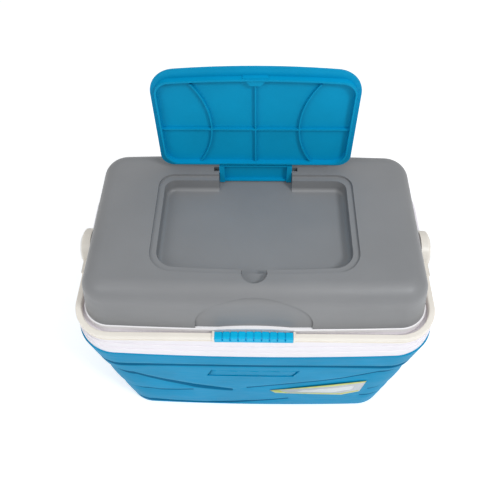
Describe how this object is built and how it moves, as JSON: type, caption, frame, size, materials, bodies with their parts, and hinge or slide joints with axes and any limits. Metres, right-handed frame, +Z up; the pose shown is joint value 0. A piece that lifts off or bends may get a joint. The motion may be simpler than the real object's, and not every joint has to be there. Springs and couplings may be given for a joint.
{
  "type": "cooler chest",
  "caption": "Hard-sided insulated cooler chest with a swing handle, a lift-off lid and a hinged hatch over a tray in the lid",
  "frame": {"origin": "middle of the underside, on the surface it stands on", "axes": "X across the width to the right, Y to the back, Z up"},
  "size_m": [0.48, 0.2838, 0.542],
  "materials": {
    "shell_blue": "satin moulded plastic",
    "hatch_blue": "satin moulded plastic",
    "lid_grey": "fine textured plastic",
    "liner_white": "smooth white plastic",
    "handle_white": "cream white plastic",
    "cap_white": "bright white plastic",
    "foam": "poured insulating foam",
    "seal_grey": "soft seal",
    "label_silver": "printed foil label",
    "pin_steel": "plain steel"
  },
  "bodies": {
    "chest": {"outer_shell": "shell_blue", "body_insulation": "foam", "inner_liner": "liner_white", "base_plug_left": "liner_white", "base_plug_right": "liner_white", "front_label": "label_silver", "pivot_pin_left": "cap_white", "pivot_pin_right": "cap_white"},
    "lid": {"lid_shell": "lid_grey", "lid_insulation": "foam", "lid_liner": "liner_white", "lid_seal": "seal_grey", "hinge_pin_left": "pin_steel", "hinge_pin_right": "pin_steel"},
    "hatch": {"hatch_door": "hatch_blue"},
    "handle": {"handle_bail": "handle_white", "handle_grip": "hatch_blue"}
  },
  "joints": [
    {"name": "lid_lift", "type": "slide", "parent": "chest", "child": "lid", "axis": [0, 0, 1], "range_m": [0, 0.045]},
    {"name": "hatch_hinge", "type": "hinge", "parent": "lid", "child": "hatch", "pos_m": [0, 0.082, 0.374], "axis": [1, 0, 0], "range_deg": [0, 91]},
    {"name": "handle_swing", "type": "hinge", "parent": "chest", "child": "handle", "pos_m": [0, 0, 0.307], "axis": [-1, 0, 0], "range_deg": [0, 100]}
  ]
}
